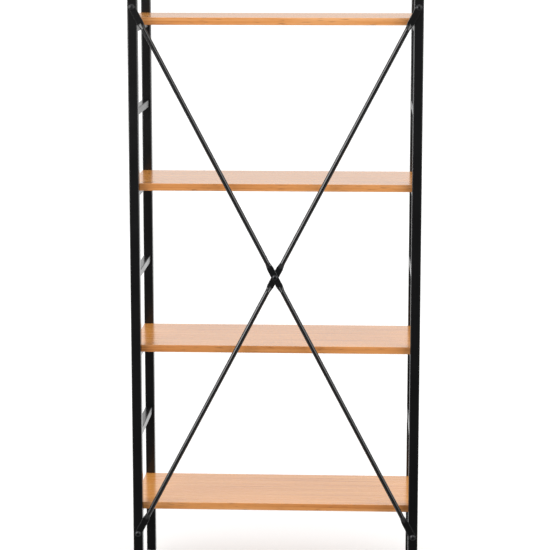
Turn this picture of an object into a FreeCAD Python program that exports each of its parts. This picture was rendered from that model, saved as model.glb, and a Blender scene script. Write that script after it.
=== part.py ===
"""Industrial bookcase: two welded ladder frames of square tube, four edge-banded boards, a cross brace
of flattened round tube, and the fasteners, caps and levelling feet that hold and carry them.

Millimetres. The origin is on the floor, in the middle of the overall width and depth. +Z is up, -Y is the
braced rear side, and -X is the left as seen from that side.
"""

import FreeCAD
import Part
import Sketcher

import math
import os
import re

Vector = FreeCAD.Vector
QUARTER = math.pi / 2
SAME_HEIGHT = 1e-6

SHELF_COUNT = 4
SIDES = {"left": -1, "right": 1}
ENDS = {"rear": -1, "front": 1}

# Driving dimensions: alias, value, meaning.
SIZES = (
    ("frame_width", 600, "across the outer faces of the posts, left to right"),
    ("frame_depth", 270, "across the outer faces of the posts, rear to front"),
    ("post_size", 20, "square tube of a post"),
    ("post_wall", 1.2, "wall of a post"),
    ("post_corner", 2, "outer corner radius of a post"),
    ("rail_size", 15, "square tube of a rail"),
    ("rail_wall", 1, "wall of a rail"),
    ("rail_corner", 1.5, "outer corner radius of a rail"),
    ("rail_inset", 1, "left face of a post to the left face of its rails"),
    ("least_corner", 0.2, "smallest corner radius inside a tube"),
    ("shelf_pitch", 340, "from one board's top to the next"),
    ("lowest_shelf_top", 198, "floor to the top of the lowest board"),
    ("shelf_thickness", 15, "board thickness"),
    ("shelf_clearance", 0.5, "between a board's long edge and the posts"),
    ("edge_band", 0.8, "thickness of the strip glued round a board"),
    ("edge_round", 0.6, "rounding of that strip's outer edges"),
    ("guard_rail_rise", 146, "board top to the middle of the guard rail above it"),
    ("brace_inset", 134, "floor to the lower brace bolts, and cap tops to the upper ones"),
    ("brace_tube", 10, "outer diameter of a brace bar"),
    ("brace_wall", 1, "wall of a brace bar"),
    ("brace_flat", 2, "thickness of a pressed flat"),
    ("brace_flat_width", 14, "width of a pressed flat"),
    ("brace_slit", 0.2, "what is left of the bore where a flat begins"),
    ("brace_end_margin", 2, "end flat past the side of the post, along the bar"),
    ("brace_middle_margin", 7.5, "middle flat past the other bar, along the bar"),
    ("brace_neck", 12, "length over which a flat opens out to the round tube"),
    ("bolt_size", 6, "thread diameter of a brace bolt"),
    ("bolt_clearance", 0.25, "radial room round a bolt in a pressed flat"),
    ("bolt_head_width", 12, "diameter of a bolt's button head"),
    ("bolt_head_height", 3, "height of a bolt's button head"),
    ("bolt_head_rim", 0.8, "upright rim under the dome of a button head"),
    ("bolt_head_land", 6, "diameter of the flat on top of a button head"),
    ("socket_width", 4, "across the flats of a bolt's hexagon socket"),
    ("socket_depth", 1.8, "depth of a bolt's hexagon socket"),
    ("bolt_end", 1, "bolt past the hexagon nut at the crossing"),
    ("thread_clearance", 0.05, "radial room drawn in place of a thread"),
    ("rivet_nut_sleeve", 9, "outer diameter of a rivet nut"),
    ("rivet_nut_length", 12, "length of a rivet nut from the post's face"),
    ("rivet_nut_collar", 12, "diameter of a rivet nut's bulge behind the wall"),
    ("rivet_nut_bulge", 3, "length of that bulge"),
    ("hex_nut_width", 10, "across the flats of the hexagon nut at the crossing"),
    ("hex_nut_height", 5, "height of that nut"),
    ("screw_size", 4, "diameter of a board screw"),
    ("screw_clearance", 0.2, "radial room round a board screw in a rail"),
    ("screw_head_width", 8, "diameter of a board screw's pan head"),
    ("screw_head_height", 2.5, "height of a board screw's pan head"),
    ("screw_head_land", 4.5, "diameter of the flat on a pan head"),
    ("recess_length", 4, "across a pan head's cross recess"),
    ("recess_width", 1, "width of one arm of that recess"),
    ("recess_depth", 1.4, "depth of that recess"),
    ("screw_cover", 4, "wood left above a screw's pilot hole"),
    ("screw_tip_gap", 0.5, "end of a pilot hole past the screw's tip"),
    ("screw_point", 3, "length of a board screw's point"),
    ("screw_inset", 45, "post to the nearest board screw, along the rail"),
    ("plug_flange", 2, "flange of a post cap or a foot plug"),
    ("plug_clearance", 0.2, "room between a plug and the post's inside, each side"),
    ("cap_plug_length", 12, "post cap inside the post"),
    ("cap_plug_wall", 1.5, "wall of the post cap's plug"),
    ("cap_edge_round", 1, "rounding of a post cap's upper edge"),
    ("foot_plug_length", 18, "foot plug inside the post"),
    ("foot_height", 8, "sole of a foot that is screwed right in to its plug's underside"),
    ("foot_gap", 0.3, "foot plug to a foot that is screwed right in"),
    ("foot_out", 10, "how far a standing foot is screwed out"),
    ("foot_width", 19, "diameter of a levelling foot"),
    ("foot_bevel", 0.8, "bevel round the sole of a foot"),
    ("foot_rim", 4, "height of a foot's upright rim"),
    ("foot_neck_width", 13, "diameter of a foot's upper face"),
    ("stem_size", 8, "thread diameter of a foot's stem"),
    ("stem_length", 22, "stem above the foot"),
    ("stem_seat", 5, "stem moulded into the foot"),
    ("stem_chamfer", 0.8, "chamfer at the stem's upper end"),
    ("stem_clearance", 0.1, "radial room round a stem in the foot plug"),
)

# Worked-out places and lengths: alias, formula.
PLACES = (
    ("highest_shelf_top", f"lowest_shelf_top + {SHELF_COUNT - 1} * shelf_pitch"),
    ("overall_height", "highest_shelf_top + guard_rail_rise + rail_size / 2 + plug_flange"),
    ("frame_centre", "(brace_tube + brace_flat) / 4"),
    ("rear_face", "frame_centre - frame_depth / 2"),
    ("post_x", "(frame_width - post_size) / 2"),
    ("post_y", "(frame_depth - post_size) / 2"),
    ("post_inside", "post_size - 2 * post_wall"),
    ("post_inner_corner", "max(post_corner - post_wall; least_corner)"),
    ("post_bottom", "foot_height + foot_out + plug_flange"),
    ("post_length", "overall_height - plug_flange - post_bottom"),
    ("rail_offset", "(post_size - rail_size) / 2 - rail_inset"),
    ("rail_inside", "rail_size - 2 * rail_wall"),
    ("rail_inner_corner", "max(rail_corner - rail_wall; least_corner)"),
    ("rail_length", "frame_depth - 2 * post_size"),
    ("shelf_depth", "rail_length - 2 * shelf_clearance"),
    ("core_length", "frame_width - 2 * edge_band"),
    ("core_depth", "shelf_depth - 2 * edge_band"),
    ("screw_y", "rail_length / 2 - screw_inset"),
    ("pilot_depth", "shelf_thickness - screw_cover"),
    ("screw_length", "rail_size + pilot_depth - screw_tip_gap"),
    ("brace_bore", "brace_tube - 2 * brace_wall"),
    ("brace_slit_width", "brace_flat_width - 2 * brace_wall"),
    ("brace_plane", "rear_face - brace_flat / 2"),
    ("brace_height", "overall_height / 2"),
    ("brace_rise", "overall_height / 2 - brace_inset"),
    ("brace_tilt", "atan(post_x / brace_rise)"),
    ("brace_half", "sqrt(post_x ^ 2 + brace_rise ^ 2)"),
    ("post_crossing", "(post_size / 2 + brace_flat_width / 2 * cos(brace_tilt)) / sin(brace_tilt)"),
    ("end_flat_start", "brace_half - post_crossing - brace_end_margin"),
    ("end_neck_start", "end_flat_start - brace_neck"),
    ("middle_flat", "brace_flat_width / 2 / tan(brace_tilt) + brace_middle_margin"),
    ("middle_neck_end", "middle_flat + brace_neck"),
    ("bolt_length", "brace_flat + rivet_nut_length"),
    ("crossing_bolt_length", "2 * brace_flat + hex_nut_height + bolt_end"),
    ("plug_size", "post_inside - 2 * plug_clearance"),
    ("foot_top", "foot_height - foot_gap"),
)

# Which sheet each alias is kept in.
SHEET_OF = {alias: "Sizes." for alias, value, meaning in SIZES}
SHEET_OF.update({alias: "Places." for alias, formula in PLACES})

doc = FreeCAD.newDocument("industrial_bookcase")
sizes = doc.addObject("Spreadsheet::Sheet", "Sizes")
places = doc.addObject("Spreadsheet::Sheet", "Places")
nodes = {}


def fill_sheets():
    """Driving dimensions go in one sheet, and what follows from them in the other, by alias."""
    for row, (alias, value, meaning) in enumerate(SIZES, start=1):
        sizes.set(f"A{row}", meaning)
        sizes.set(f"B{row}", str(value))
        sizes.setAlias(f"B{row}", alias)
    doc.recompute()
    for row, (alias, formula) in enumerate(PLACES, start=1):
        places.set(f"B{row}", "=" + bound(formula))
        places.setAlias(f"B{row}", alias)
        doc.recompute()


def bound(formula):
    """The formula with each alias written as a reference to the sheet that holds it."""

    def reference(word):
        return SHEET_OF.get(word[0], "") + word[0]

    return re.sub("[a-z_]+", reference, formula)


def number(formula):
    """The present value of a formula."""
    return float(sizes.evalExpression(bound(formula)))


def bind(target, prop, formula):
    """Ties a property of an object to a formula of the sheets."""
    target.setExpression(prop, bound(formula))


def place(target, x="0", y="0", z="0", axis=(0, 0, 1), angle="0"):
    """Binds a whole placement: a point, and a turn about one axis."""
    turn = "rotation(vector({}; {}; {}); {})".format(*axis, bound(angle))
    target.setExpression(
        "Placement", f"placement(vector({bound(x)}; {bound(y)}; {bound(z)}); {turn})"
    )


def new_body(label):
    return doc.addObject("PartDesign::Body", label)


def new_sketch(body, name, role, height=None):
    """A sketch on one of the body's own origin planes, moved along its normal if a height is given."""
    sketch = body.newObject("Sketcher::SketchObject", name)
    plane = next(f for f in body.Origin.OriginFeatures if f.Role == role)
    sketch.AttachmentSupport = [(plane, "")]
    sketch.MapMode = "FlatFace"
    if height is not None:
        bind(sketch, "AttachmentOffset.Base.z", height)
    return sketch


def dimension(sketch, kind, formula, *where):
    """A driving constraint whose value is a formula of the sheets."""
    index = sketch.addConstraint(Sketcher.Constraint(kind, *where, number(formula)))
    bind(sketch, f"Constraints[{index}]", formula)


def pin_point(sketch, geometry, end, x, y):
    """Holds a point of the sketch at two formulas, each measured from the origin."""
    for kind, formula in (("DistanceX", x), ("DistanceY", y)):
        if number(formula) < 0:
            dimension(sketch, kind, f"0 - ( {formula} )", geometry, end, -1, 1)
        else:
            dimension(sketch, kind, formula, -1, 1, geometry, end)


def draw_outline(sketch, points, domes=()):
    """A closed outline through points given as pairs of formulas. The segments numbered in domes are arcs
    that rise towards the sketch's vertical axis, about a centre on it, and the others are straight."""
    corners = [Vector(number(x), number(y), 0) for x, y in points]
    for index, corner in enumerate(corners):
        following = corners[(index + 1) % len(corners)]
        if index in domes:
            sketch.addGeometry(dome_arc(corner, following))
        else:
            sketch.addGeometry(Part.LineSegment(corner, following))
    for index, (x, y) in enumerate(points):
        previous = (index - 1) % len(points)
        sketch.addConstraint(Sketcher.Constraint("Coincident", previous, 2, index, 1))
        pin_point(sketch, index, 1, x, y)
    for index in domes:
        sketch.addConstraint(Sketcher.Constraint("PointOnObject", index, 3, -2))


def dome_arc(low, high):
    """An arc from low up to high, about the point of the vertical axis that is as far from both."""
    centre_y = (low.x**2 + low.y**2 - high.x**2 - high.y**2) / (2 * (low.y - high.y))
    centre = Vector(0, centre_y, 0)
    radius = (low - centre).Length
    circle = Part.Circle(centre, Vector(0, 0, 1), radius)
    return Part.ArcOfCircle(circle, *(math.asin((point - centre).y / radius) for point in (low, high)))


def draw_circle(sketch, diameter, x="0", y="0"):
    circle = Part.Circle(Vector(number(x), number(y), 0), Vector(0, 0, 1), number(diameter) / 2)
    index = sketch.addGeometry(circle)
    dimension(sketch, "Diameter", diameter, index)
    pin_point(sketch, index, 3, x, y)


def draw_rounded_square(sketch, size, corner):
    """A square centred on the origin, with an arc at each corner."""
    half = number(size) / 2
    radius = number(corner)
    inner = half - radius
    first = sketch.GeometryCount
    for turn in range(4):
        rotation = FreeCAD.Rotation(Vector(0, 0, 1), 90 * turn)
        start = rotation.multVec(Vector(-inner, -half, 0))
        end = rotation.multVec(Vector(inner, -half, 0))
        centre = rotation.multVec(Vector(inner, -inner, 0))
        sketch.addGeometry(Part.LineSegment(start, end))
        circle = Part.Circle(centre, Vector(0, 0, 1), radius)
        sketch.addGeometry(Part.ArcOfCircle(circle, (turn - 1) * QUARTER, turn * QUARTER))
    lines = [first, first + 2, first + 4, first + 6]
    arcs = [first + 1, first + 3, first + 5, first + 7]
    for turn in range(4):
        following = lines[(turn + 1) % 4]
        sketch.addConstraint(Sketcher.Constraint("Tangent", lines[turn], 2, arcs[turn], 1))
        sketch.addConstraint(Sketcher.Constraint("Tangent", arcs[turn], 2, following, 1))
        straight = "Horizontal" if turn % 2 == 0 else "Vertical"
        sketch.addConstraint(Sketcher.Constraint(straight, lines[turn]))
    for arc in arcs[1:]:
        sketch.addConstraint(Sketcher.Constraint("Equal", arcs[0], arc))
    sketch.addConstraint(Sketcher.Constraint("Symmetric", arcs[0], 3, arcs[2], 3, -1, 1))
    dimension(sketch, "DistanceX", size, lines[3], 1, lines[1], 1)
    dimension(sketch, "DistanceY", size, lines[0], 1, lines[2], 1)
    dimension(sketch, "Radius", corner, arcs[0])


def draw_hexagon(sketch, width):
    """A regular hexagon about the origin, given by the distance across its flats."""
    points = [
        (f"{width} / sqrt(3) * cos({60 * corner})", f"{width} / sqrt(3) * sin({60 * corner})")
        for corner in range(6)
    ]
    draw_outline(sketch, points)


def draw_cross(sketch, reach, half_width):
    """An upright cross about the origin, given by the reach and the half width of its arms."""
    corner = ((half_width, reach), (half_width, half_width), (reach, half_width))
    quarters = ((1, 1, corner), (1, -1, corner[::-1]), (-1, -1, corner), (-1, 1, corner[::-1]))
    points = [(f"{x} * {a}", f"{y} * {b}") for x, y, spots in quarters for a, b in spots]
    draw_outline(sketch, points)


def pad(body, sketch, name, length, symmetric=False, down=False):
    feature = body.newObject("PartDesign::Pad", name)
    feature.Profile = sketch
    bind(feature, "Length", length)
    feature.SideType = "Symmetric" if symmetric else "One side"
    feature.Reversed = down
    return feature


def pocket(body, sketch, name, length=None, symmetric=False, along=False):
    """A cut of a given length, or right through. It runs against the sketch's normal unless along is set."""
    feature = body.newObject("PartDesign::Pocket", name)
    feature.Profile = sketch
    feature.SideType = "Symmetric" if symmetric else "One side"
    feature.Reversed = along
    if length is None:
        feature.Type = "ThroughAll"
    else:
        bind(feature, "Length", length)
    return feature


def revolve(body, sketch, name):
    """A full turn of a profile about its sketch's vertical axis."""
    feature = body.newObject("PartDesign::Revolution", name)
    feature.Profile = sketch
    feature.ReferenceAxis = (sketch, ["V_Axis"])
    feature.Angle = 360
    return feature


def turned_body(label, points, domes=()):
    """A body turned about its own Z axis from a profile of radius and height formulas."""
    body = new_body(label)
    profile = new_sketch(body, f"{label}_profile", "XZ_Plane")
    draw_outline(profile, points, domes)
    revolve(body, profile, f"{label}_turning")
    return body


def copies(label, placed):
    """One node of repeated pieces: a link to a master at each spot, gathered in a compound."""
    links = []
    for master, spot in placed:
        link = doc.addObject("App::Link", f"{label}_copy")
        link.setLink(master)
        place(link, **spot)
        links.append(link)
    group = doc.addObject("Part::Compound", label)
    group.Links = links
    nodes[label] = group


def shelf_top(level):
    return f"lowest_shelf_top + {level} * shelf_pitch"


def rail_middle(side):
    """Where the rails of one side lie across the bookcase: on either side nearer their posts' left faces,
    because both ladder frames are made alike and face the same way."""
    return f"{side} * post_x - rail_offset"


def make_post(label, side, end):
    """A post of square tube. The rear ones have a hole in their rear face for each rivet nut."""
    body = new_body(label)
    section = new_sketch(body, f"{label}_section", "XY_Plane")
    draw_rounded_square(section, "post_size", "post_corner")
    draw_rounded_square(section, "post_inside", "post_inner_corner")
    pad(body, section, f"{label}_tube", "post_length")
    if end < 0:
        holes = new_sketch(body, f"{label}_rivet_nut_holes", "XZ_Plane")
        for height in ("brace_inset", "overall_height - brace_inset"):
            hole = "rivet_nut_sleeve + 2 * thread_clearance"
            draw_circle(holes, hole, "0", f"{height} - post_bottom")
        pocket(body, holes, f"{label}_rear_cut", "post_size", along=True)
    place(body, f"{side} * post_x", f"frame_centre + {end} * post_y", "post_bottom")
    nodes[label] = body


def make_rail(label, side, height, screwed=False):
    """A rail of square tube between the posts of one side. One that carries a board has its screw holes."""
    body = new_body(label)
    section = new_sketch(body, f"{label}_section", "XZ_Plane")
    draw_rounded_square(section, "rail_size", "rail_corner")
    draw_rounded_square(section, "rail_inside", "rail_inner_corner")
    pad(body, section, f"{label}_tube", "rail_length", symmetric=True)
    if screwed:
        holes = new_sketch(body, f"{label}_screw_holes", "XY_Plane")
        for end in ENDS.values():
            draw_circle(holes, "screw_size + 2 * screw_clearance", "0", f"{end} * screw_y")
        pocket(body, holes, f"{label}_screw_cut", symmetric=True)
    place(body, rail_middle(side), "frame_centre", height)
    nodes[label] = body


def make_ladder_frames():
    """Two posts and eight rails on each side. The highest guard rails close the tops of the posts."""
    for side_name, side in SIDES.items():
        for end_name, end in ENDS.items():
            make_post(f"{side_name}_{end_name}_post", side, end)
        for level in range(SHELF_COUNT):
            height = f"{shelf_top(level)} - shelf_thickness - rail_size / 2"
            make_rail(f"{side_name}_shelf_rail_{level + 1}", side, height, screwed=True)
            height = f"{shelf_top(level)} + guard_rail_rise"
            make_rail(f"{side_name}_guard_rail_{level + 1}", side, height)


def make_board(level):
    """A board's core, with blind pilot holes in its underside."""
    label = f"shelf_board_{level + 1}"
    body = new_body(label)
    outline = new_sketch(body, f"{label}_outline", "XY_Plane")
    half_length = "core_length / 2"
    half_depth = "core_depth / 2"
    corners = ((-1, -1), (1, -1), (1, 1), (-1, 1))
    draw_outline(outline, [(f"{x} * {half_length}", f"{y} * {half_depth}") for x, y in corners])
    pad(body, outline, f"{label}_core", "shelf_thickness")
    holes = new_sketch(body, f"{label}_pilot_holes", "XY_Plane")
    for x, y in corners:
        draw_circle(holes, "screw_size + 2 * thread_clearance", rail_middle(x), f"{y} * screw_y")
    pocket(body, holes, f"{label}_pilot_cut", "pilot_depth", along=True)
    place(body, "0", "frame_centre", f"{shelf_top(level)} - shelf_thickness")
    nodes[label] = body


def make_edge_strip(label, length):
    """A strip along X whose back is on the XZ plane and whose outer edges are rounded."""
    body = new_body(label)
    profile = new_sketch(body, f"{label}_profile", "YZ_Plane")
    radius = number("edge_round")
    band = number("edge_band")
    top = number("shelf_thickness")
    lower = Part.Circle(Vector(band - radius, radius, 0), Vector(0, 0, 1), radius)
    upper = Part.Circle(Vector(band - radius, top - radius, 0), Vector(0, 0, 1), radius)
    profile.addGeometry(Part.LineSegment(Vector(0, 0, 0), Vector(band - radius, 0, 0)))
    profile.addGeometry(Part.ArcOfCircle(lower, -QUARTER, 0))
    profile.addGeometry(Part.LineSegment(Vector(band, radius, 0), Vector(band, top - radius, 0)))
    profile.addGeometry(Part.ArcOfCircle(upper, 0, QUARTER))
    profile.addGeometry(Part.LineSegment(Vector(band - radius, top, 0), Vector(0, top, 0)))
    profile.addGeometry(Part.LineSegment(Vector(0, top, 0), Vector(0, 0, 0)))
    for edge in range(4):
        profile.addConstraint(Sketcher.Constraint("Tangent", edge, 2, edge + 1, 1))
    profile.addConstraint(Sketcher.Constraint("Coincident", 4, 2, 5, 1))
    profile.addConstraint(Sketcher.Constraint("Coincident", 5, 2, 0, 1))
    profile.addConstraint(Sketcher.Constraint("Coincident", 0, 1, -1, 1))
    for edge, straight in ((0, "Horizontal"), (2, "Vertical"), (4, "Horizontal"), (5, "Vertical")):
        profile.addConstraint(Sketcher.Constraint(straight, edge))
    profile.addConstraint(Sketcher.Constraint("Equal", 1, 3))
    dimension(profile, "Radius", "edge_round", 1)
    dimension(profile, "DistanceX", "edge_band", -1, 1, 2, 1)
    dimension(profile, "DistanceY", "shelf_thickness", -1, 1, 4, 1)
    pad(body, profile, f"{label}_length", length, symmetric=True)
    return body


def make_edge_bands(level, long_strip, short_strip):
    """Four strips round a board: two along it, the full length, and two across between those."""
    underside = f"{shelf_top(level)} - shelf_thickness"
    placed = []
    for end in ENDS.values():
        turn = "0" if end > 0 else "180"
        long_y = f"frame_centre + {end} * core_depth / 2"
        placed.append((long_strip, {"y": long_y, "z": underside, "angle": turn}))
    for side in SIDES.values():
        short_x = f"{side} * core_length / 2"
        spot = {"x": short_x, "y": "frame_centre", "z": underside, "angle": f"{-side} * 90"}
        placed.append((short_strip, spot))
    copies(f"shelf_edge_bands_{level + 1}", placed)


def make_board_screw():
    """A board screw, head down: a pan head with a cross recess below zero and a pointed shank above it."""
    body = turned_body(
        "board_screw",
        [
            ("0", "0 - screw_head_height"),
            ("screw_head_land / 2", "0 - screw_head_height"),
            ("screw_head_width / 2", "0"),
            ("screw_size / 2", "0"),
            ("screw_size / 2", "screw_length - screw_point"),
            ("0", "screw_length"),
        ],
    )
    recess = new_sketch(body, "board_screw_recess", "XY_Plane", "0 - screw_head_height")
    draw_cross(recess, "recess_length / 2", "recess_width / 2")
    pocket(body, recess, "board_screw_recess_cut", "recess_depth", along=True)
    return body


def make_shelves():
    screw = make_board_screw()
    long_strip = make_edge_strip("long_edge_strip", "frame_width")
    short_strip = make_edge_strip("short_edge_strip", "core_depth")
    for level in range(SHELF_COUNT):
        make_board(level)
        make_edge_bands(level, long_strip, short_strip)
        underside = f"{shelf_top(level)} - shelf_thickness - rail_size"
        placed = [
            (screw, {"x": rail_middle(side), "y": f"frame_centre + {end} * screw_y", "z": underside})
            for side in SIDES.values()
            for end in ENDS.values()
        ]
        copies(f"shelf_screws_{level + 1}", placed)


def flat_section(body, name, height, width, thickness, shift):
    """A pressed section across the bar: straight faces and round edges, moved across its own thickness."""
    sketch = new_sketch(body, name, "XY_Plane", height)
    round_x = (number(width) - number(thickness)) / 2
    half = number(thickness) / 2
    middle = number(shift)
    right = Part.Circle(Vector(round_x, middle, 0), Vector(0, 0, 1), half)
    left = Part.Circle(Vector(-round_x, middle, 0), Vector(0, 0, 1), half)
    upper = (Vector(round_x, middle + half, 0), Vector(-round_x, middle + half, 0))
    lower = (Vector(-round_x, middle - half, 0), Vector(round_x, middle - half, 0))
    sketch.addGeometry(Part.ArcOfCircle(right, -QUARTER, QUARTER))
    sketch.addGeometry(Part.LineSegment(*upper))
    sketch.addGeometry(Part.ArcOfCircle(left, QUARTER, 3 * QUARTER))
    sketch.addGeometry(Part.LineSegment(*lower))
    for edge in range(4):
        sketch.addConstraint(Sketcher.Constraint("Tangent", edge, 2, (edge + 1) % 4, 1))
    sketch.addConstraint(Sketcher.Constraint("Horizontal", 1))
    pin_point(sketch, 0, 3, f"( {width} - {thickness} ) / 2", shift)
    pin_point(sketch, 2, 3, f"0 - ( {width} - {thickness} ) / 2", shift)
    dimension(sketch, "Radius", f"{thickness} / 2", 0)
    return sketch


def round_section(body, name, height, diameter):
    """The round section across the bar, in four arcs that answer to the edges of a pressed section."""
    sketch = new_sketch(body, name, "XY_Plane", height)
    circle = Part.Circle(Vector(0, 0, 0), Vector(0, 0, 1), number(diameter) / 2)
    for arc in range(4):
        sketch.addGeometry(Part.ArcOfCircle(circle, (arc - 0.5) * QUARTER, (arc + 0.5) * QUARTER))
    for arc in range(4):
        sketch.addConstraint(Sketcher.Constraint("Coincident", arc, 3, -1, 1))
    for arc in range(3):
        sketch.addConstraint(Sketcher.Constraint("Coincident", arc, 2, arc + 1, 1))
    dimension(sketch, "Radius", f"{diameter} / 2", 0)
    across = f"{diameter} / 2 * cos(45)"
    for arc, end in ((0, 1), (0, 2), (3, 2)):
        dimension(sketch, "DistanceX", across, -1, 1, arc, end)
    for arc in (1, 2):
        dimension(sketch, "DistanceX", across, arc, 2, -1, 1)
    return sketch


def loft(body, name, sections, cut=False):
    feature = body.newObject("PartDesign::SubtractiveLoft" if cut else "PartDesign::AdditiveLoft", name)
    feature.Profile = sections[0]
    feature.Sections = sections[1:]
    feature.Ruled = True
    return feature


def make_brace_bar(label, lean, layer):
    """A tube along its own Z axis, pressed flat at both ends and at the crossing, and leaned to one side. The
    middle flat lies on one side of the tube's axis, so that two bars cross face to face."""
    body = new_body(label)
    shift = f"{layer} * brace_flat / 2"
    flat = ("brace_flat_width", "brace_flat")
    outside = [
        flat_section(body, f"{label}_bolt_line", "brace_half", *flat, "0"),
        flat_section(body, f"{label}_end_flat", "end_flat_start", *flat, "0"),
        round_section(body, f"{label}_end_round", "end_neck_start", "brace_tube"),
        round_section(body, f"{label}_middle_round", "middle_neck_end", "brace_tube"),
        flat_section(body, f"{label}_middle_flat", "middle_flat", *flat, shift),
        flat_section(body, f"{label}_crossing", "0", *flat, shift),
    ]
    half_bar = loft(body, f"{label}_half", outside)
    eye = new_sketch(body, f"{label}_eye", "XY_Plane", "brace_half")
    draw_eye_profile(eye)
    eye_turn = revolve(body, eye, f"{label}_eye_turning")
    slit = ("brace_slit_width", "brace_slit")
    inside = [
        flat_section(body, f"{label}_end_slit", "end_flat_start", *slit, "0"),
        round_section(body, f"{label}_end_bore", "end_neck_start", "brace_bore"),
        round_section(body, f"{label}_middle_bore", "middle_neck_end", "brace_bore"),
        flat_section(body, f"{label}_middle_slit", "middle_flat", *slit, shift),
    ]
    hollow = loft(body, f"{label}_bore", inside, cut=True)
    doc.recompute()
    mirrored = body.newObject("PartDesign::Mirrored", f"{label}_other_half")
    mirrored.Originals = [half_bar, eye_turn, hollow]
    mirrored.MirrorPlane = (next(f for f in body.Origin.OriginFeatures if f.Role == "XY_Plane"), [""])
    body.Tip = mirrored
    doc.recompute()
    holes = new_sketch(body, f"{label}_bolt_holes", "XZ_Plane")
    for height in ("0 - brace_half", "0", "brace_half"):
        draw_circle(holes, "bolt_size + 2 * bolt_clearance", "0", height)
    pocket(body, holes, f"{label}_bolt_cut", symmetric=True)
    place(body, "0", "brace_plane", "brace_height", (0, 1, 0), f"{lean} * brace_tilt")
    nodes[label] = body


def draw_eye_profile(sketch):
    """Half of a pressed section, which turns about the bolt's axis into the rounded end of a bar."""
    half = number("brace_flat") / 2
    round_x = (number("brace_flat_width") - number("brace_flat")) / 2
    edge = Part.Circle(Vector(round_x, 0, 0), Vector(0, 0, 1), half)
    sketch.addGeometry(Part.LineSegment(Vector(0, -half, 0), Vector(round_x, -half, 0)))
    sketch.addGeometry(Part.ArcOfCircle(edge, -QUARTER, QUARTER))
    sketch.addGeometry(Part.LineSegment(Vector(round_x, half, 0), Vector(0, half, 0)))
    sketch.addGeometry(Part.LineSegment(Vector(0, half, 0), Vector(0, -half, 0)))
    sketch.addConstraint(Sketcher.Constraint("Tangent", 0, 2, 1, 1))
    sketch.addConstraint(Sketcher.Constraint("Tangent", 1, 2, 2, 1))
    sketch.addConstraint(Sketcher.Constraint("Coincident", 2, 2, 3, 1))
    sketch.addConstraint(Sketcher.Constraint("Coincident", 3, 2, 0, 1))
    sketch.addConstraint(Sketcher.Constraint("Horizontal", 0))
    pin_point(sketch, 1, 3, "( brace_flat_width - brace_flat ) / 2", "0")
    dimension(sketch, "Radius", "brace_flat / 2", 1)
    sketch.addConstraint(Sketcher.Constraint("PointOnObject", 0, 1, -2))
    sketch.addConstraint(Sketcher.Constraint("PointOnObject", 2, 2, -2))


def make_button_bolt(label, length):
    """A button-head bolt with a hexagon socket, its shank below zero and its head above."""
    body = turned_body(
        label,
        [
            ("0", f"0 - {length}"),
            ("bolt_size / 2", f"0 - {length}"),
            ("bolt_size / 2", "0"),
            ("bolt_head_width / 2", "0"),
            ("bolt_head_width / 2", "bolt_head_rim"),
            ("bolt_head_land / 2", "bolt_head_height"),
            ("0", "bolt_head_height"),
        ],
        domes=(4,),
    )
    socket = new_sketch(body, f"{label}_socket", "XY_Plane", "bolt_head_height")
    draw_hexagon(socket, "socket_width")
    pocket(body, socket, f"{label}_socket_cut", "socket_depth")
    return body


def make_rivet_nut():
    """A threaded sleeve, its mouth at zero and its bulge gripping behind the post's wall, below zero."""
    bore = "bolt_size / 2 + thread_clearance"
    return turned_body(
        "rivet_nut",
        [
            (bore, "0"),
            (bore, "0 - rivet_nut_length"),
            ("rivet_nut_sleeve / 2", "0 - rivet_nut_length"),
            ("rivet_nut_sleeve / 2", "0 - post_wall - rivet_nut_bulge"),
            ("rivet_nut_collar / 2", "0 - post_wall - rivet_nut_bulge / 2"),
            ("rivet_nut_sleeve / 2", "0 - post_wall"),
            ("rivet_nut_sleeve / 2", "0"),
        ],
    )


def make_crossing_nut():
    """The hexagon nut behind the crossing."""
    label = "brace_crossing_nut"
    body = new_body(label)
    section = new_sketch(body, f"{label}_section", "XY_Plane")
    draw_hexagon(section, "hex_nut_width")
    draw_circle(section, "bolt_size + 2 * thread_clearance")
    pad(body, section, f"{label}_blank", "hex_nut_height", down=True)
    place(body, "0", "brace_plane + brace_flat", "brace_height", (1, 0, 0), "90")
    nodes[label] = body


def make_brace():
    make_brace_bar("brace_bar_outer", -1, -1)
    make_brace_bar("brace_bar_inner", 1, 1)
    spots = [
        {"x": f"{side} * post_x", "z": f"brace_height + {end} * brace_rise", "axis": (1, 0, 0), "angle": "90"}
        for side in SIDES.values()
        for end in ENDS.values()
    ]
    bolt = make_button_bolt("brace_bolt", "bolt_length")
    copies("brace_bolts", [(bolt, {**spot, "y": "rear_face - brace_flat"}) for spot in spots])
    rivet_nut = make_rivet_nut()
    copies("brace_rivet_nuts", [(rivet_nut, {**spot, "y": "rear_face"}) for spot in spots])
    crossing = make_button_bolt("brace_crossing_bolt", "crossing_bolt_length")
    place(crossing, "0", "brace_plane - brace_flat", "brace_height", (1, 0, 0), "90")
    nodes["brace_crossing_bolt"] = crossing
    make_crossing_nut()


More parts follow.
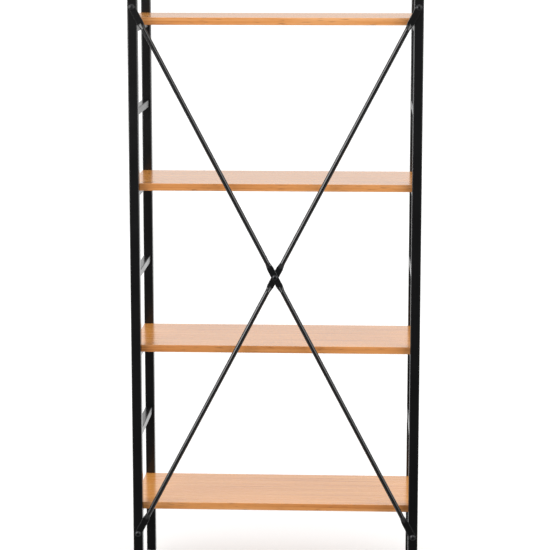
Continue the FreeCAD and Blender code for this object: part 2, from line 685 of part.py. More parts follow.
def make_post_cap(label, side, end):
    """A moulded cap: a flange over the end of the post and a hollow plug inside it."""
    body = new_body(label)
    flange = new_sketch(body, f"{label}_flange_outline", "XY_Plane")
    draw_rounded_square(flange, "post_size", "post_corner")
    top = pad(body, flange, f"{label}_flange", "plug_flange")
    doc.recompute()
    height = number("plug_flange")
    rim = [
        f"Edge{index}"
        for index, edge in enumerate(top.Shape.Edges, start=1)
        if all(abs(vertex.Z - height) < SAME_HEIGHT for vertex in edge.Vertexes)
    ]
    rounding = body.newObject("PartDesign::Fillet", f"{label}_rounding")
    rounding.Base = (top, rim)
    bind(rounding, "Radius", "cap_edge_round")
    plug = new_sketch(body, f"{label}_plug_outline", "XY_Plane")
    draw_rounded_square(plug, "plug_size", "post_inner_corner")
    draw_rounded_square(plug, "plug_size - 2 * cap_plug_wall", "post_inner_corner")
    pad(body, plug, f"{label}_plug", "cap_plug_length", down=True)
    x = f"{side} * post_x"
    place(body, x, f"frame_centre + {end} * post_y", "overall_height - plug_flange")
    nodes[label] = body


def make_foot_plug(label, side, end):
    """A moulded plug in the lower end of a post, bored for the foot's stem."""
    body = new_body(label)
    flange = new_sketch(body, f"{label}_flange_outline", "XY_Plane")
    draw_rounded_square(flange, "post_size", "post_corner")
    pad(body, flange, f"{label}_flange", "plug_flange", down=True)
    plug = new_sketch(body, f"{label}_plug_outline", "XY_Plane")
    draw_rounded_square(plug, "plug_size", "post_inner_corner")
    pad(body, plug, f"{label}_plug", "foot_plug_length")
    bore = new_sketch(body, f"{label}_bore_outline", "XY_Plane")
    draw_circle(bore, "stem_size + 2 * stem_clearance")
    pocket(body, bore, f"{label}_bore", symmetric=True)
    place(body, f"{side} * post_x", f"frame_centre + {end} * post_y", "post_bottom")
    nodes[label] = body


def make_foot(corner, side, end):
    """A moulded foot and the threaded stem that is set in it."""
    seat = "stem_size / 2 + thread_clearance"
    spot = (f"{side} * post_x", f"frame_centre + {end} * post_y", "0")
    foot = turned_body(
        f"{corner}_foot",
        [
            ("0", "0"),
            ("foot_width / 2 - foot_bevel", "0"),
            ("foot_width / 2", "foot_bevel"),
            ("foot_width / 2", "foot_rim"),
            ("foot_neck_width / 2", "foot_top"),
            (seat, "foot_top"),
            (seat, "foot_top - stem_seat"),
            ("0", "foot_top - stem_seat"),
        ],
    )
    stem_top = "foot_top + stem_length"
    stem = turned_body(
        f"{corner}_foot_stem",
        [
            ("0", "foot_top - stem_seat"),
            ("stem_size / 2", "foot_top - stem_seat"),
            ("stem_size / 2", f"{stem_top} - stem_chamfer"),
            ("stem_size / 2 - stem_chamfer", stem_top),
            ("0", stem_top),
        ],
    )
    for body in (foot, stem):
        place(body, *spot)
        nodes[body.Label] = body


def make_post_ends():
    for side_name, side in SIDES.items():
        for end_name, end in ENDS.items():
            corner = f"{side_name}_{end_name}"
            make_post_cap(f"{corner}_post_cap", side, end)
            make_foot_plug(f"{corner}_foot_plug", side, end)
            make_foot(corner, side, end)


def write_nodes():
    """Writes each sub-part once the whole document is sound."""
    doc.recompute()
    failed = [o.Label for o in doc.Objects if {"Invalid", "Error"} & set(o.State)]
    if failed:
        raise RuntimeError(f"failed to recompute: {failed}")
    for label, node in nodes.items():
        if node.Shape.isNull() or not node.Shape.isValid() or not node.Shape.Solids:
            raise RuntimeError(f"{label} has no sound solid")
    os.makedirs("parts", exist_ok=True)
    for label, node in nodes.items():
        node.Shape.exportStep(f"parts/{label}.step")
    print(len(nodes), "nodes,", sum(len(node.Shape.Solids) for node in nodes.values()), "solids")


fill_sheets()
make_ladder_frames()
make_shelves()
make_brace()
make_post_ends()
write_nodes()
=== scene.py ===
"""Finishes, weld beads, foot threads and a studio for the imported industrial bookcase.

Metres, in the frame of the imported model: the origin is on the floor in the middle of the bookcase, +Z is
up and -Y is the braced rear side.
"""

import math

import bpy
import numpy as np
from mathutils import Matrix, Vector


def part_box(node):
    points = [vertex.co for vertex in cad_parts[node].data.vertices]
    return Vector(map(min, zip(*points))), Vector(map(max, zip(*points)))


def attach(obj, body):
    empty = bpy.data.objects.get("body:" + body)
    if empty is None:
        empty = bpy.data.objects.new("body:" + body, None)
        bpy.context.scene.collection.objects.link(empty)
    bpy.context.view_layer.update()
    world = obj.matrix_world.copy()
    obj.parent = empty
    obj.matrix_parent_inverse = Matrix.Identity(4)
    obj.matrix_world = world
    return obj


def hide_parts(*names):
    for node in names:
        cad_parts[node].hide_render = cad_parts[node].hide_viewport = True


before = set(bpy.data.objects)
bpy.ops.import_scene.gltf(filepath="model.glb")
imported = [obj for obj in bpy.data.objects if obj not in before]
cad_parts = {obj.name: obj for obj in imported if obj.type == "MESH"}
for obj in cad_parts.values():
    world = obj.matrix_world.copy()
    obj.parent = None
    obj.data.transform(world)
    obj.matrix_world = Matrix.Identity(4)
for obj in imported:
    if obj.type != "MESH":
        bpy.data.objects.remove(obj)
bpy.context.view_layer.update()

bl_info = {
    "name": "Industrial Bookcase",
    "version": (1, 0, 0),
    "blender": (4, 5, 0),
    "location": "View3D > Sidebar > Bookcase",
    "description": "Finishes, weld beads, foot threads and a studio for an industrial bookcase",
    "category": "Object",
}

MM = 0.001
TURN = 2 * math.pi
MAIN_BODY = "bookcase"
SIDES = ("left", "right")
CORNERS = ("left_rear", "left_front", "right_rear", "right_front")

# Sockets of a Mix node: its factor, then the two inputs and the result for colours and for vectors.
MIX_FACTOR, MIX_A, MIX_B, MIX_RESULT = 0, 6, 7, 2
MIX_VECTOR_A, MIX_VECTOR_B, MIX_VECTOR_RESULT = 4, 5, 1

# Noise level at which a pore begins and at which it is full.
PORE_BEGIN, PORE_FULL = 0.56, 0.74
# A face of an edge band is an end when its normal has more than this along X.
END_FACING = 0.7
# Roughness of the metals where they shine most and least.
BLACKENED_ROUGHNESS = (0.28, 0.46)
ZINC_ROUGHNESS = (0.22, 0.42)

# Rings along a weld bead and points across it.
BEAD_RINGS, BEAD_POINTS = 48, 9
# How far a ripple lags at the toes of a bead, in pitches, and a bead's size at its ends.
RIPPLE_LAG = 0.45
BEAD_TIP = 0.15
# Rings in one turn of a thread, points round a ring, and how much steeper than a cosine the flanks are.
TURN_RINGS, RING_POINTS = 10, 40
FLANK_STEEPNESS = 1.5

# Width of the camera's sensor in millimetres, and how far it sees in metres.
SENSOR_WIDTH = 36
VIEW_LIMIT = 200


def linear(hex_colour):
    """An sRGB hex colour as linear red, green and blue."""
    channels = [int(hex_colour[i : i + 2], 16) / 255 for i in (1, 3, 5)]
    return tuple(c / 12.92 if c <= 0.04045 else ((c + 0.055) / 1.055) ** 2.4 for c in channels)


def colour_property(name, description, hex_colour):
    """A colour, given as sRGB hex and kept linear."""
    return bpy.props.FloatVectorProperty(
        name=name, description=description, default=linear(hex_colour), subtype="COLOR", min=0, max=1
    )


def length_property(name, description, millimetres):
    """A length, given in millimetres and kept in metres."""
    return bpy.props.FloatProperty(
        name=name, description=description, default=millimetres * MM, min=0, unit="LENGTH", precision=5
    )


def share_property(name, description, default):
    """A share between 0 and 1."""
    return bpy.props.FloatProperty(
        name=name, description=description, default=default, min=0, max=1, subtype="FACTOR"
    )


def place_property(name, description, default):
    """A place in the frame, in metres."""
    return bpy.props.FloatVectorProperty(
        name=name, description=description, default=default, subtype="TRANSLATION", unit="LENGTH"
    )


def strength_property(name, description, default):
    """How bright a part of the room is, where 1 is the white of the picture."""
    return bpy.props.FloatProperty(name=name, description=description, default=default, min=0)


def power_property(name, description, watts):
    """The power of a light in watts."""
    return bpy.props.FloatProperty(name=name, description=description, default=watts, min=0, unit="POWER")


class BOOKCASE_PG_coat(bpy.types.PropertyGroup):
    """Powder coat of the posts, rails, brace bars and weld beads."""

    colour: colour_property("Colour", "Colour of the powder coat", "#070707")
    thin_colour: colour_property("Thin colour", "Colour where the coat lies thinner", "#0C0C0D")
    roughness: share_property("Roughness", "Roughness of the satin film", 0.2)
    swing: share_property("Roughness swing", "How far the clouds move the roughness either way", 0.05)
    gloss: share_property("Gloss", "Specular level of the film", 0.5)
    peel_size: length_property("Peel size", "Width of one swell of the orange peel", 2)
    peel_depth: length_property("Peel depth", "Depth of the orange peel", 0.006)
    cloud_size: length_property("Cloud size", "Width of the clouds in which the gloss varies", 70)


class BOOKCASE_PG_boards(bpy.types.PropertyGroup):
    """Wood print of the boards."""

    light: colour_property("Light wood", "Palest growth bands", "#D79E57")
    middle: colour_property("Middle wood", "Main colour of the print", "#C7853D")
    dark: colour_property("Dark wood", "Darkest growth bands", "#A56427")
    pore: colour_property("Pores", "Fine dark streaks", "#84501F")
    pore_ink: share_property("Pore ink", "How much of their colour the pores take", 0.3)


class BOOKCASE_PG_bands(bpy.types.PropertyGroup):
    """Wood print of the edge bands."""

    light: colour_property("Light wood", "Palest growth bands", "#ECB27C")
    middle: colour_property("Middle wood", "Main colour of the print", "#D89356")
    dark: colour_property("Dark wood", "Darkest growth bands", "#B16832")
    pore: colour_property("Pores", "Fine dark streaks", "#70401A")
    pore_ink: share_property("Pore ink", "How much of their colour the pores take", 0.7)


class BOOKCASE_PG_grain(bpy.types.PropertyGroup):
    """Grain and seal that the boards and the edge bands share."""

    band_width: length_property("Band width", "Width of one growth band", 7)
    band_length: length_property("Band length", "Length over which a growth band wanders", 420)
    patch_width: length_property("Patch width", "Width of a darker patch of bands", 63)
    patch_length: length_property("Patch length", "Length of a darker patch of bands", 840)
    pore_width: length_property("Pore width", "Width of a pore streak", 1.2)
    pore_length: length_property("Pore length", "Length of a pore streak", 26)
    pore_depth: length_property("Pore depth", "Depth of a pore streak", 0.01)
    pore_roughness: share_property("Pore roughness", "How much rougher the foil is in a pore", 0.12)
    roughness: share_property("Roughness", "Roughness of the printed foil", 0.24)
    gloss: share_property("Gloss", "Specular level of the printed foil", 0.42)
    seal: share_property("Seal", "Share of the print that the clear seal covers", 0.4)
    seal_roughness: share_property("Seal roughness", "Roughness of the clear seal over the print", 0.12)


class BOOKCASE_PG_hardware(bpy.types.PropertyGroup):
    """Fasteners, foot stems and moulded ends."""

    bolt_colour: colour_property("Bolts", "Colour of the blackened steel", "#343435")
    blotch_size: length_property("Blotch size", "Width of the blotches in the blackened steel", 2)
    zinc_colour: colour_property("Zinc", "Colour of the zinc plating", "#C3C6C6")
    bloom_size: length_property("Bloom size", "Width of the grey blooms on the zinc", 3)
    bloom_shade: share_property("Bloom shade", "Share of the zinc's colour that a bloom leaves", 0.72)
    plastic_colour: colour_property("Plastic", "Colour of the moulded ends", "#121213")
    grit_size: length_property("Grit size", "Width of a grain of the moulded grit", 0.7)
    grit_depth: length_property("Grit depth", "Depth of the moulded grit", 0.03)
    thread_pitch: length_property("Thread pitch", "Rise of a foot's thread in one turn", 1.25)
    thread_depth: length_property("Thread depth", "Depth of a foot's thread", 0.65)
    thread_chamfer: length_property("Thread chamfer", "Chamfer at the ends of a foot's stem", 0.8)


class BOOKCASE_PG_welds(bpy.types.PropertyGroup):
    """Weld beads under the rails, where they meet the posts."""

    leg: length_property("Leg", "Reach of a bead along the rail and along the post", 2.8)
    crown: length_property("Crown", "Rise of a bead above the flat between its toes", 0.7)
    ripple_pitch: length_property("Ripple pitch", "Distance from one ripple to the next", 1.5)
    ripple_height: length_property("Ripple height", "Height of a ripple", 0.22)
    run_out: length_property("Run-out", "Length over which a bead dies away at its ends", 2.5)
    root: length_property("Root", "Depth of a bead's hidden root in the rail and the post", 0.3)
    corner: length_property("Rail corner", "Outer corner radius of a rail", 1.5)


class BOOKCASE_PG_studio(bpy.types.PropertyGroup):
    """Camera, lights and floor."""

    camera_place: place_property("Camera place", "Where the camera stands", (0.193, -4.232, 1.406))
    camera_aim: place_property("Camera aim", "Point that the camera looks at", (0, -0.132, 0.692))
    lens: bpy.props.FloatProperty(
        name="Lens", description="Focal length on a 36 mm sensor", default=132.2, min=1, unit="CAMERA"
    )
    floor_colour: colour_property("Floor", "Colour of the floor", "#FFFFFF")
    floor_width: length_property("Floor width", "Width of the floor", 80000)
    backdrop: strength_property("Backdrop", "Strength of the white light beyond the bookcase", 1.08)
    seam: strength_property("Seam", "Strength of the light from the shaded foot of the backdrop", 0.45)
    ceiling: strength_property("Ceiling", "Strength of the white light above the bookcase", 1.7)
    sides: strength_property("Sides", "Strength of the grey light from both sides", 0.6)
    room: strength_property("Room", "Strength of the dim room behind the camera, at eye level", 0.12)
    room_floor: strength_property("Room floor", "Strength of the room's dark floor", 0.03)
    softbox_width: length_property("Softbox width", "Width of each softbox", 2600)
    softbox_height: length_property("Softbox height", "Height of each softbox", 2200)
    key_place: place_property("Key place", "Where the left key softbox hangs", (-2.4, -2, 2.4))
    key_power: power_property("Key power", "Power of each key softbox", 75)
    left_place: place_property("Left softbox place", "Where the left softbox hangs", (-2.3, -2, 1.6))
    left_power: power_property("Left softbox power", "Power of the left softbox", 135)
    right_place: place_property("Right softbox place", "Where the right softbox hangs", (2.3, -2, 1.6))
    right_power: power_property("Right softbox power", "Power of the right softbox", 58)


def add(tree, kind, links=None, **settings):
    """Adds one node: settings are its properties, and links gives each input a value or an output."""
    node = tree.nodes.new(kind)
    for name, value in settings.items():
        setattr(node, name, value)
    for socket, value in (links or {}).items():
        if isinstance(value, bpy.types.NodeSocket):
            tree.links.new(value, node.inputs[socket])
        else:
            node.inputs[socket].default_value = value
    return node


def new_material(name, sockets):
    """A material with only its surface shader, whose sockets are set. Returns the material, its node tree
    and the shader."""
    material = bpy.data.materials.new(name)
    material.use_nodes = True
    tree = material.node_tree
    tree.nodes.clear()
    shader = add(tree, "ShaderNodeBsdfPrincipled", sockets)
    add(tree, "ShaderNodeOutputMaterial", {"Surface": shader.outputs["BSDF"]})
    return material, tree, shader


def opaque(colour):
    """A colour with full alpha, as a colour socket takes it."""
    return (*colour, 1.0)


def dress(material, *endings):
    """Gives a material to the CAD nodes whose names end, before any number, with one of the endings."""
    names = [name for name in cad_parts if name.rstrip("_0123456789").endswith(endings)]
    if not names:
        raise RuntimeError(f"no node ends with any of {endings}")
    for name in names:
        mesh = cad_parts[name].data
        mesh.materials.clear()
        mesh.materials.append(material)


def new_piece(name, vertices, faces, material, body):
    """A smooth-shaded mesh object at the origin that moves with a body."""
    mesh = bpy.data.meshes.new(name)
    mesh.from_pydata(vertices.tolist(), [], faces)
    mesh.shade_smooth()
    mesh.materials.append(material)
    piece = bpy.data.objects.new(name, mesh)
    bpy.context.scene.collection.objects.link(piece)
    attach(piece, body)
    return piece


def swept(rings):
    """Closed tubes through rings, an array of tubes, stations, points round and x, y, z. Neighbouring rings
    are joined by quads and the two end rings are filled. A ring that runs clockwise about its tube's way is
    turned round first, so that every face points outwards."""
    centres = rings.mean(axis=2, keepdims=True)
    arms = rings - centres
    areas = np.cross(arms, np.roll(arms, -1, axis=2)).sum(axis=2)
    ways = np.gradient(centres[:, :, 0], axis=1)
    clockwise = (areas * ways).sum(axis=(1, 2)) < 0
    rings = np.where(clockwise[:, None, None, None], rings[:, :, ::-1], rings)
    index = np.arange(rings[..., 0].size).reshape(rings.shape[:3])
    following = np.roll(index, -1, axis=2)
    corners = (index[:, :-1], following[:, :-1], following[:, 1:], index[:, 1:])
    sides = np.stack(corners, axis=-1).reshape(-1, 4)
    ends = np.concatenate((index[:, 0, ::-1], index[:, -1]))
    return rings.reshape(-1, 3), sides.tolist() + ends.tolist()


def powder_coat(coat):
    """Polyester powder coat, sprayed dry and baked on steel tube. The film is a satin near-black that
    softens reflections, with a fine orange peel and faint clouds where it flowed out more or less."""
    material, tree, shader = new_material(
        "satin_black_powder_coat", {"Specular IOR Level": coat.gloss, "IOR": 1.5}
    )
    place = add(tree, "ShaderNodeTexCoord").outputs["Object"]
    cloud = add(tree, "ShaderNodeTexNoise", {"Vector": place, "Scale": 1 / coat.cloud_size, "Detail": 3.0})
    tint = add(
        tree,
        "ShaderNodeMix",
        {MIX_FACTOR: cloud.outputs["Fac"], MIX_A: opaque(coat.colour), MIX_B: opaque(coat.thin_colour)},
        data_type="RGBA",
    )
    film = add(
        tree,
        "ShaderNodeMapRange",
        {
            "Value": cloud.outputs["Fac"],
            "To Min": coat.roughness - coat.swing,
            "To Max": coat.roughness + coat.swing,
        },
    )
    peel = add(tree, "ShaderNodeTexNoise", {"Vector": place, "Scale": 1 / coat.peel_size, "Detail": 1.0})
    bump = add(
        tree,
        "ShaderNodeBump",
        {"Height": peel.outputs["Fac"], "Distance": coat.peel_depth, "Strength": 0.5},
    )
    tree.links.new(tint.outputs[MIX_RESULT], shader.inputs["Base Color"])
    tree.links.new(film.outputs["Result"], shader.inputs["Roughness"])
    tree.links.new(bump.outputs["Normal"], shader.inputs["Normal"])
    return material


def wood_print(name, wood, grain, wraps_ends):
    """Melamine foil printed with straight-grained oak under a clear seal. Growth bands wander along X in
    three tones, fine pores streak them, and the seal gives clear reflections at a low angle. Where the
    print wraps a board's ends, its grain turns to run along Y there. The pores are drawn about four times
    their real 0.3 mm, so that they show."""
    material, tree, shader = new_material(
        name,
        {
            "Specular IOR Level": grain.gloss,
            "Coat Weight": grain.seal,
            "Coat Roughness": grain.seal_roughness,
            "Coat IOR": 1.5,
        },
    )
    texture_place = add(tree, "ShaderNodeTexCoord")
    place = texture_place.outputs["Object"]
    if wraps_ends:
        facing = add(tree, "ShaderNodeSeparateXYZ", {"Vector": texture_place.outputs["Normal"]})
        sideways = add(tree, "ShaderNodeMath", {0: facing.outputs["X"]}, operation="ABSOLUTE")
        on_end = add(
            tree,
            "ShaderNodeMath",
            {0: sideways.outputs["Value"], 1: END_FACING},
            operation="GREATER_THAN",
        )
        turned = add(tree, "ShaderNodeMapping", {"Vector": place, "Rotation": (0, 0, TURN / 4)})
        way = add(
            tree,
            "ShaderNodeMix",
            {
                MIX_FACTOR: on_end.outputs["Value"],
                MIX_VECTOR_A: place,
                MIX_VECTOR_B: turned.outputs["Vector"],
            },
            data_type="VECTOR",
        )
        place = way.outputs[MIX_VECTOR_RESULT]

    def streaks(length, width, detail, distortion):
        """Noise drawn out along the grain."""
        stretched = add(
            tree,
            "ShaderNodeMapping",
            {"Vector": place, "Scale": (1 / length, 1 / width, 1 / width)},
        )
        settings = {"Vector": stretched.outputs["Vector"], "Scale": 1.0, "Detail": detail}
        noise = add(tree, "ShaderNodeTexNoise", {**settings, "Distortion": distortion})
        return noise.outputs["Fac"]

    bands = streaks(grain.band_length, grain.band_width, 3.0, 0.5)
    patches = streaks(grain.patch_length, grain.patch_width, 2.0, 0.2)
    pores = streaks(grain.pore_length, grain.pore_width, 2.0, 0.0)
    # Each pass of the print: its ink, its streaks, where they begin and are full, and how much ink there.
    passes = (
        (wood.light, bands, 0.48, 0.72, 0.75),
        (wood.dark, bands, 0.46, 0.28, 0.65),
        (wood.dark, patches, 0.5, 0.25, 0.35),
        (wood.pore, pores, PORE_BEGIN, PORE_FULL, wood.pore_ink),
    )
    print_colour = opaque(wood.middle)
    for ink, pattern, begin, full, most in passes:
        inked = add(
            tree,
            "ShaderNodeMapRange",
            {"Value": pattern, "From Min": begin, "From Max": full, "To Max": most},
            interpolation_type="SMOOTHSTEP",
        )
        laid = add(
            tree,
            "ShaderNodeMix",
            {MIX_FACTOR: inked.outputs["Result"], MIX_A: print_colour, MIX_B: opaque(ink)},
            data_type="RGBA",
        )
        print_colour = laid.outputs[MIX_RESULT]
    foil = add(
        tree,
        "ShaderNodeMapRange",
        {
            "Value": pores,
            "From Min": PORE_BEGIN,
            "From Max": PORE_FULL,
            "To Min": grain.roughness,
            "To Max": grain.roughness + grain.pore_roughness,
        },
    )
    # The same ramp is the height of the bump, so the pores' depth is divided by the ramp's rise.
    bump = add(
        tree,
        "ShaderNodeBump",
        {
            "Height": foil.outputs["Result"],
            "Distance": grain.pore_depth / grain.pore_roughness,
            "Strength": 0.4,
        },
        invert=True,
    )
    tree.links.new(print_colour, shader.inputs["Base Color"])
    tree.links.new(foil.outputs["Result"], shader.inputs["Roughness"])
    tree.links.new(bump.outputs["Normal"], shader.inputs["Normal"])
    return material


def blackened_steel(hardware):
    """Turned steel blackened in a hot salt bath. It keeps a metal's dark, slightly uneven shine."""
    material, tree, shader = new_material(
        "black_oxide_steel", {"Base Color": opaque(hardware.bolt_colour), "Metallic": 1.0}
    )
    place = add(tree, "ShaderNodeTexCoord").outputs["Object"]
    blotch = add(
        tree, "ShaderNodeTexNoise", {"Vector": place, "Scale": 1 / hardware.blotch_size, "Detail": 4.0}
    )
    smooth, rough = BLACKENED_ROUGHNESS
    bath = add(
        tree, "ShaderNodeMapRange", {"Value": blotch.outputs["Fac"], "To Min": smooth, "To Max": rough}
    )
    tree.links.new(bath.outputs["Result"], shader.inputs["Roughness"])
    return material


def zinc_plate(hardware):
    """Zinc plated over rolled thread. It is a bright grey metal with fine uneven grey blooms."""
    material, tree, shader = new_material("zinc_plated_steel", {"Metallic": 1.0})
    place = add(tree, "ShaderNodeTexCoord").outputs["Object"]
    bloom = add(
        tree, "ShaderNodeTexNoise", {"Vector": place, "Scale": 1 / hardware.bloom_size, "Detail": 5.0}
    )
    dulled = tuple(channel * hardware.bloom_shade for channel in hardware.zinc_colour)
    tint = add(
        tree,
        "ShaderNodeMix",
        {MIX_FACTOR: bloom.outputs["Fac"], MIX_A: opaque(hardware.zinc_colour), MIX_B: opaque(dulled)},
        data_type="RGBA",
    )
    smooth, rough = ZINC_ROUGHNESS
    film = add(
        tree, "ShaderNodeMapRange", {"Value": bloom.outputs["Fac"], "To Min": smooth, "To Max": rough}
    )
    tree.links.new(tint.outputs[MIX_RESULT], shader.inputs["Base Color"])
    tree.links.new(film.outputs["Result"], shader.inputs["Roughness"])
    return material


def moulded_plastic(hardware):
    """Polyethylene moulded in a spark-eroded tool. It is a dull black with a fine even grit."""
    material, tree, shader = new_material(
        "moulded_black_polyethylene",
        {"Base Color": opaque(hardware.plastic_colour), "IOR": 1.51, "Roughness": 0.5},
    )
    place = add(tree, "ShaderNodeTexCoord").outputs["Object"]
    grit = add(
        tree, "ShaderNodeTexNoise", {"Vector": place, "Scale": 1 / hardware.grit_size, "Detail": 1.0}
    )
    bump = add(
        tree,
        "ShaderNodeBump",
        {"Height": grit.outputs["Fac"], "Distance": hardware.grit_depth, "Strength": 0.6},
    )
    tree.links.new(bump.outputs["Normal"], shader.inputs["Normal"])
    return material


def weld_rings(rails, welds):
    """Rings of the beads under both ends of each rail. Across a bead, a straight line from the toe on the
    rail to the toe on the post is raised by half a sine wave, which crescent ripples swell along the way. At
    its ends the bead shrinks towards its root."""
    low, high = (np.array([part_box(rail)[end] for rail in rails]) for end in (0, 1))
    run = np.linspace(0, (high - low)[0, 0] - 2 * welds.corner, BEAD_RINGS)[:, None]
    across = np.linspace(0, 1, BEAD_POINTS)
    beat = run / welds.ripple_pitch + RIPPLE_LAG * (2 * across - 1) ** 2
    crown = (welds.crown + welds.ripple_height * np.cos(TURN * beat)) * np.sin(math.pi * across)
    reach = welds.leg + welds.root
    dying = np.clip(np.minimum(run, run[-1] - run) / welds.run_out, 0, 1)
    size = BEAD_TIP + (1 - BEAD_TIP) * dying * dying * (3 - 2 * dying)
    # The zero that is added to every ring is its root, inside the steel.
    down = size * np.pad(reach * across + crown / math.sqrt(2), ((0, 0), (0, 1))) - welds.root
    along = size * np.pad(reach * (1 - across) + crown / math.sqrt(2), ((0, 0), (0, 1))) - welds.root
    low_x, low_z = (low[:, None, None, axis] for axis in (0, 2))
    beads = []
    for end, way in ((low, 1), (high, -1)):
        y = end[:, None, None, 1] + way * along
        beads.append(np.stack(np.broadcast_arrays(low_x + welds.corner + run, y, low_z - down), axis=-1))
    return np.concatenate(beads)


def thread_rings(stem, hardware):
    """Rings of a threaded stem. The radius at a height and an angle falls from the crest by a cosine wave of
    the height in pitches less the angle in turns. The wave is flattened at crest and root, and the stem's
    ends are chamfered."""
    low, high = (np.array(corner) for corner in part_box(stem))
    crest = (high - low)[0] / 2
    turns = (high - low)[2] / hardware.thread_pitch
    height = np.linspace(low[2], high[2], int(turns * TURN_RINGS))[:, None]
    angle = np.arange(RING_POINTS) / RING_POINTS * TURN
    wave = 0.5 - 0.5 * np.cos(TURN * height / hardware.thread_pitch - angle)
    groove = np.clip(0.5 + FLANK_STEEPNESS * (wave - 0.5), 0, 1)
    to_end = np.minimum(height - low[2], high[2] - height)
    chamfered = crest - hardware.thread_chamfer + to_end
    radius = np.minimum(crest - hardware.thread_depth * groove, chamfered)
    middle = (low + high) / 2
    x = middle[0] + radius * np.cos(angle)
    y = middle[1] + radius * np.sin(angle)
    return np.stack((x, y, np.broadcast_to(height, radius.shape)), axis=-1)[None]


class BOOKCASE_OT_coat_frames(bpy.types.Operator):
    """Powder coats the posts, the rails and the brace bars"""

    bl_idname = "bookcase.coat_frames"
    bl_label = "Coat the frames"

    def execute(self, context):
        material = powder_coat(context.scene.bookcase_coat)
        dress(material, "post", "rail", "bar_outer", "bar_inner")
        return {"FINISHED"}


class BOOKCASE_OT_finish_boards(bpy.types.Operator):
    """Prints the boards and their edge bands with wood grain"""

    bl_idname = "bookcase.finish_boards"
    bl_label = "Finish the boards"

    def execute(self, context):
        scene = context.scene
        dress(wood_print("oak_print_melamine", scene.bookcase_boards, scene.bookcase_grain, False), "board")
        dress(wood_print("oak_print_edge_band", scene.bookcase_bands, scene.bookcase_grain, True), "bands")
        return {"FINISHED"}


class BOOKCASE_OT_finish_hardware(bpy.types.Operator):
    """Finishes the bolts, nuts, screws, caps, plugs and feet"""

    bl_idname = "bookcase.finish_hardware"
    bl_label = "Finish the hardware"

    def execute(self, context):
        hardware = context.scene.bookcase_hardware
        dress(blackened_steel(hardware), "brace_bolts", "crossing_bolt", "crossing_nut", "screws")
        dress(zinc_plate(hardware), "rivet_nuts", "stem")
        dress(moulded_plastic(hardware), "cap", "plug", "foot")
        return {"FINISHED"}


class BOOKCASE_OT_lay_welds(bpy.types.Operator):
    """Lays a coated weld bead at both ends of every rail"""

    bl_idname = "bookcase.lay_welds"
    bl_label = "Lay the weld beads"

    def execute(self, context):
        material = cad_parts["left_rear_post"].data.materials[0]
        for side in SIDES:
            rails = sorted(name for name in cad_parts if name.startswith(side) and "_rail_" in name)
            vertices, faces = swept(weld_rings(rails, context.scene.bookcase_welds))
            new_piece(f"{side}_weld_beads", vertices, faces, material, MAIN_BODY)
        return {"FINISHED"}


class BOOKCASE_OT_cut_threads(bpy.types.Operator):
    """Gives each levelling foot a threaded stem"""

    bl_idname = "bookcase.cut_threads"
    bl_label = "Cut the foot threads"

    def execute(self, context):
        for corner in CORNERS:
            stem = f"{corner}_foot_stem"
            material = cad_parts[stem].data.materials[0]
            vertices, faces = swept(thread_rings(stem, context.scene.bookcase_hardware))
            body = f"{corner}_levelling_foot"
            piece = new_piece(f"{corner}_thread", vertices, faces, material, body)
            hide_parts(stem)
        return {"FINISHED"}


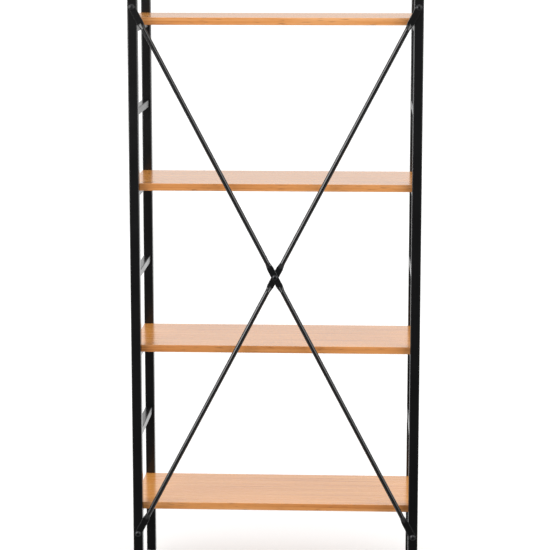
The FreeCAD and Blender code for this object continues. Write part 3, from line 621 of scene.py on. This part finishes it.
class BOOKCASE_OT_build_studio(bpy.types.Operator):
    """Builds the floor, the lights and the camera"""

    bl_idname = "bookcase.build_studio"
    bl_label = "Build the studio"

    def execute(self, context):
        scene = context.scene
        studio = scene.bookcase_studio
        floor = self.lay_floor(scene, studio)
        shelves = [node for name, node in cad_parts.items() if name.startswith("shelf_")]
        rails = [node for name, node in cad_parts.items() if "_rail_" in name]
        self.light_room(scene, studio)
        # The key softboxes are a mirrored pair that no reflection shows.
        for side, way in zip(SIDES, (1, -1)):
            place = (way * studio.key_place[0], *studio.key_place[1:])
            key = self.hang_softbox(scene, studio, f"{side}_key", place, studio.key_power, [floor])
            key.visible_glossy = False
        spared = [floor, *shelves, *rails]
        self.hang_softbox(scene, studio, "left_softbox", studio.left_place, studio.left_power, spared)
        self.hang_softbox(scene, studio, "right_softbox", studio.right_place, studio.right_power, spared)
        self.set_camera(scene, studio)
        return {"FINISHED"}

    @staticmethod
    def lay_floor(scene, studio):
        """A flat square, two vertices each way, that throws no light back on the bookcase."""
        reach = np.array((-0.5, 0.5)) * studio.floor_width
        x, y = np.meshgrid(reach, reach)
        vertices = np.stack((x, y, np.zeros_like(x)), axis=-1).reshape(-1, 3)
        mesh = bpy.data.meshes.new("floor")
        mesh.from_pydata(vertices.tolist(), [], [(0, 1, 3, 2)])
        sockets = {"Base Color": opaque(studio.floor_colour), "Roughness": 0.9, "Specular IOR Level": 0.1}
        mesh.materials.append(new_material("matt_white_floor", sockets)[0])
        floor = bpy.data.objects.new("floor", mesh)
        floor.visible_glossy = False
        floor.visible_diffuse = False
        scene.collection.objects.link(floor)
        return floor

    @staticmethod
    def light_room(scene, studio):
        """White light from beyond and above the bookcase and grey light from both sides. It dims at the foot
        of the backdrop and towards the camera's side of the room. The room itself shows as plain white."""
        scene.world = bpy.data.worlds.new("studio")
        scene.world.use_nodes = True
        tree = scene.world.node_tree
        tree.nodes.clear()
        direction = add(tree, "ShaderNodeTexCoord").outputs["Generated"]
        axes = add(tree, "ShaderNodeSeparateXYZ", {"Vector": direction})
        up, away = axes.outputs["Z"], axes.outputs["Y"]
        slope = add(tree, "ShaderNodeMath", {0: up}, operation="ABSOLUTE").outputs["Value"]
        seen = add(tree, "ShaderNodeLightPath").outputs["Is Camera Ray"]
        # Each zone of the room: what it follows, where it begins and is full, and its level before and then.
        levels = {}
        zones = (
            ("backdrop", slope, 0.0, 0.18, studio.seam, studio.backdrop),
            ("room", up, -0.3, 0.0, studio.room_floor, studio.room),
            ("sides", away, -0.95, -0.6, "room", studio.sides),
            ("walls", away, -0.1, 0.5, "sides", "backdrop"),
            ("light", up, 0.5, 0.95, "walls", studio.ceiling),
            ("picture", seen, 0.0, 1.0, "light", 1.0),
        )
        for zone, follows, begin, full, before, then in zones:
            ramp = add(
                tree,
                "ShaderNodeMapRange",
                {
                    "Value": follows,
                    "From Min": begin,
                    "From Max": full,
                    "To Min": levels.get(before, before),
                    "To Max": levels.get(then, then),
                },
                interpolation_type="SMOOTHSTEP",
            )
            levels[zone] = ramp.outputs["Result"]
        light = add(tree, "ShaderNodeBackground", {"Color": (1, 1, 1, 1), "Strength": levels["picture"]})
        add(tree, "ShaderNodeOutputWorld", {"Surface": light.outputs["Background"]})
        scene.view_settings.view_transform = "Standard"

    @staticmethod
    def hang_softbox(scene, studio, name, place, power, spared):
        """A soft rectangle of light turned to the middle of the bookcase. It doesn't light what is spared:
        the floor, which then stays an even white, and for the side softboxes the shelves and the rails,
        whose flat tops would glare."""
        light = bpy.data.lights.new(name, "AREA")
        light.shape = "RECTANGLE"
        light.size = studio.softbox_width
        light.size_y = studio.softbox_height
        light.energy = power
        softbox = bpy.data.objects.new(name, light)
        softbox.location = place
        way = Vector(studio.camera_aim) - Vector(place)
        softbox.rotation_euler = way.to_track_quat("-Z", "Y").to_euler()
        scene.collection.objects.link(softbox)
        unlit = bpy.data.collections.new(f"unlit_by_{name}")
        for piece in spared:
            unlit.objects.link(piece)
        for member in unlit.collection_objects:
            member.light_linking.link_state = "EXCLUDE"
        softbox.light_linking.receiver_collection = unlit
        return softbox

    @staticmethod
    def set_camera(scene, studio):
        """A camera turned to its aim, with no shift and no blur."""
        camera = bpy.data.objects.new("camera", bpy.data.cameras.new("camera"))
        camera.data.lens = studio.lens
        camera.data.sensor_width = SENSOR_WIDTH
        camera.data.clip_end = VIEW_LIMIT
        camera.location = studio.camera_place
        way = Vector(studio.camera_aim) - Vector(studio.camera_place)
        camera.rotation_euler = way.to_track_quat("-Z", "Y").to_euler()
        scene.collection.objects.link(camera)
        scene.camera = camera


GROUPS = {
    "bookcase_coat": BOOKCASE_PG_coat,
    "bookcase_boards": BOOKCASE_PG_boards,
    "bookcase_bands": BOOKCASE_PG_bands,
    "bookcase_grain": BOOKCASE_PG_grain,
    "bookcase_hardware": BOOKCASE_PG_hardware,
    "bookcase_welds": BOOKCASE_PG_welds,
    "bookcase_studio": BOOKCASE_PG_studio,
}
OPERATORS = (
    BOOKCASE_OT_coat_frames,
    BOOKCASE_OT_finish_boards,
    BOOKCASE_OT_finish_hardware,
    BOOKCASE_OT_lay_welds,
    BOOKCASE_OT_cut_threads,
    BOOKCASE_OT_build_studio,
)


class BOOKCASE_PT_sidebar(bpy.types.Panel):
    """Sizes, colours and operators of the bookcase"""

    bl_idname = "BOOKCASE_PT_sidebar"
    bl_label = "Industrial Bookcase"
    bl_space_type = "VIEW_3D"
    bl_region_type = "UI"
    bl_category = "Bookcase"

    def draw(self, context):
        """A box for every property group, then a button for every operator."""
        for group, owner in GROUPS.items():
            box = self.layout.box()
            for name in owner.__annotations__:
                box.prop(getattr(context.scene, group), name)
        for operator in OPERATORS:
            self.layout.operator(operator.bl_idname)


def register():
    """Registers the classes and gives every scene the property groups."""
    for owner in (*GROUPS.values(), *OPERATORS, BOOKCASE_PT_sidebar):
        bpy.utils.register_class(owner)
    for group, owner in GROUPS.items():
        setattr(bpy.types.Scene, group, bpy.props.PointerProperty(type=owner))


def unregister():
    """Undoes register, in reverse order."""
    for group in GROUPS:
        delattr(bpy.types.Scene, group)
    for owner in (BOOKCASE_PT_sidebar, *reversed(OPERATORS), *reversed(GROUPS.values())):
        bpy.utils.unregister_class(owner)


def main():
    """Registers the add-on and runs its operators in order."""
    register()
    bpy.ops.bookcase.coat_frames()
    bpy.ops.bookcase.finish_boards()
    bpy.ops.bookcase.finish_hardware()
    bpy.ops.bookcase.lay_welds()
    bpy.ops.bookcase.cut_threads()
    bpy.ops.bookcase.build_studio()


if __name__ == "__main__":
    main()
